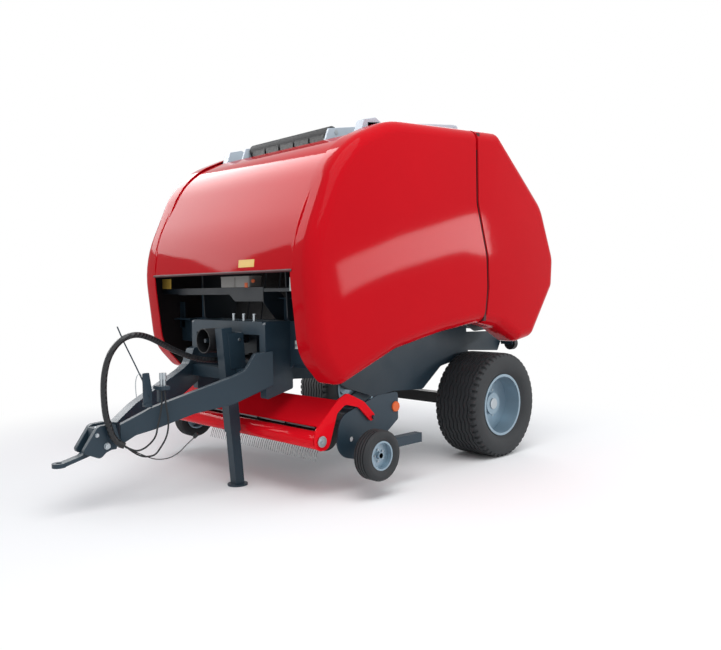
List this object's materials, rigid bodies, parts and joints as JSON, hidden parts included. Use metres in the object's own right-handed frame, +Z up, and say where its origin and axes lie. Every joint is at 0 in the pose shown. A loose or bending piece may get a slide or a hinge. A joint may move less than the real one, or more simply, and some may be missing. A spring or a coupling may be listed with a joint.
{
  "type": "round baler",
  "caption": "Drawn round baler with gull-wing side covers, lifting tailgate, raised tined pickup with wind guard, V-shaped drawbar, parking jack and wide low-pressure tyres.",
  "frame": {"origin": "on the ground, in the middle of the machine's length and width", "axes": "+X forward to the towing eye, +Y to the machine's left, +Z up"},
  "size_m": [4.91, 2.852, 3.2],
  "materials": {
    "red_paint": "glossy red paint",
    "frame_paint": "satin blue-grey paint",
    "light_grey_paint": "satin light grey paint",
    "silver_paint": "silver wheel paint",
    "black_steel": "satin black paint",
    "cast_iron": "painted casting",
    "black_plastic": "matt",
    "black_rubber": "matt rubber",
    "tyre": "matt rubber"
  },
  "bodies": {
    "machine": {"axle_beam": "black_steel", "bonnet": "red_paint", "chamber_wall_left": "frame_paint", "chamber_wall_right": "frame_paint", "chassis_left": "frame_paint", "chassis_right": "frame_paint", "drawbar": "frame_paint", "front_frame": "frame_paint", "gearbox": "cast_iron", "jack_carrier": "frame_paint", "jack_tube": "frame_paint", "pto_guard": "black_plastic", "top_frame": "light_grey_paint", "top_roller": "black_rubber", "towing_eye": "frame_paint", "yoke": "frame_paint"},
    "wheel_left": {"tyre_left": "tyre", "rim_left": "silver_paint"},
    "wheel_right": {"tyre_right": "tyre", "rim_right": "silver_paint"},
    "tailgate": {"tailgate_tubes": "frame_paint", "tailgate_wall_left": "frame_paint", "tailgate_wall_right": "frame_paint", "tailgate_cover_left": "red_paint", "tailgate_cover_right": "red_paint"},
    "cover_left": {"side_cover_left": "red_paint"},
    "cover_right": {"side_cover_right": "red_paint"},
    "jack_leg": {"jack_leg": "frame_paint"},
    "pickup": {"pickup_frame": "frame_paint", "gauge_arms": "frame_paint"},
    "reel": {"pickup_reel": "black_steel"},
    "gauge_wheel_left": {"gauge_tyre_left": "tyre", "gauge_rim_left": "silver_paint"},
    "gauge_wheel_right": {"gauge_tyre_right": "tyre", "gauge_rim_right": "silver_paint"},
    "wind_guard": {"wind_guard": "red_paint"},
    "guard_roller": {"guard_roller": "red_paint"}
  },
  "joints": [
    {"name": "wheel_left_spin", "type": "hinge", "parent": "machine", "child": "wheel_left", "pos_m": [-1.4565, 1.032, 0.51], "axis": [0, 1, 0], "continuous": true},
    {"name": "wheel_right_spin", "type": "hinge", "parent": "machine", "child": "wheel_right", "pos_m": [-1.4565, -1.032, 0.51], "axis": [0, 1, 0], "continuous": true},
    {"name": "tailgate_lift", "type": "hinge", "parent": "machine", "child": "tailgate", "pos_m": [-1.0365, 0, 3.165], "axis": [0, 1, 0], "range_deg": [0, 70]},
    {"name": "side_cover_left_lift", "type": "hinge", "parent": "machine", "child": "cover_left", "pos_m": [-0.5565, 1.015, 3.104], "axis": [0.9983, 0, -0.0579], "range_deg": [0, 60]},
    {"name": "side_cover_right_lift", "type": "hinge", "parent": "machine", "child": "cover_right", "pos_m": [-0.5565, -1.015, 3.104], "axis": [-0.9983, 0, 0.0579], "range_deg": [0, 60]},
    {"name": "jack_slide", "type": "slide", "parent": "machine", "child": "jack_leg", "axis": [0.0819, 0, 0.9966], "range_m": [0, 0.32]},
    {"name": "pickup_lift", "type": "hinge", "parent": "machine", "child": "pickup", "pos_m": [-0.3065, 0, 0.8], "axis": [0, 1, 0], "range_deg": [0, 11.5]},
    {"name": "reel_spin", "type": "hinge", "parent": "pickup", "child": "reel", "pos_m": [0.4685, 0, 0.445], "axis": [0, 1, 0], "continuous": true},
    {"name": "gauge_wheel_left_spin", "type": "hinge", "parent": "pickup", "child": "gauge_wheel_left", "pos_m": [0.4235, 1.352, 0.345], "axis": [0, 1, 0], "continuous": true},
    {"name": "gauge_wheel_right_spin", "type": "hinge", "parent": "pickup", "child": "gauge_wheel_right", "pos_m": [0.4235, -1.352, 0.345], "axis": [0, 1, 0], "continuous": true},
    {"name": "wind_guard_lift", "type": "hinge", "parent": "pickup", "child": "wind_guard", "pos_m": [0.2435, 0, 0.6], "axis": [0, -1, 0], "range_deg": [0, 12]},
    {"name": "guard_roller_spin", "type": "hinge", "parent": "wind_guard", "child": "guard_roller", "pos_m": [0.8135, 0, 0.48], "axis": [0, 1, 0], "continuous": true}
  ]
}
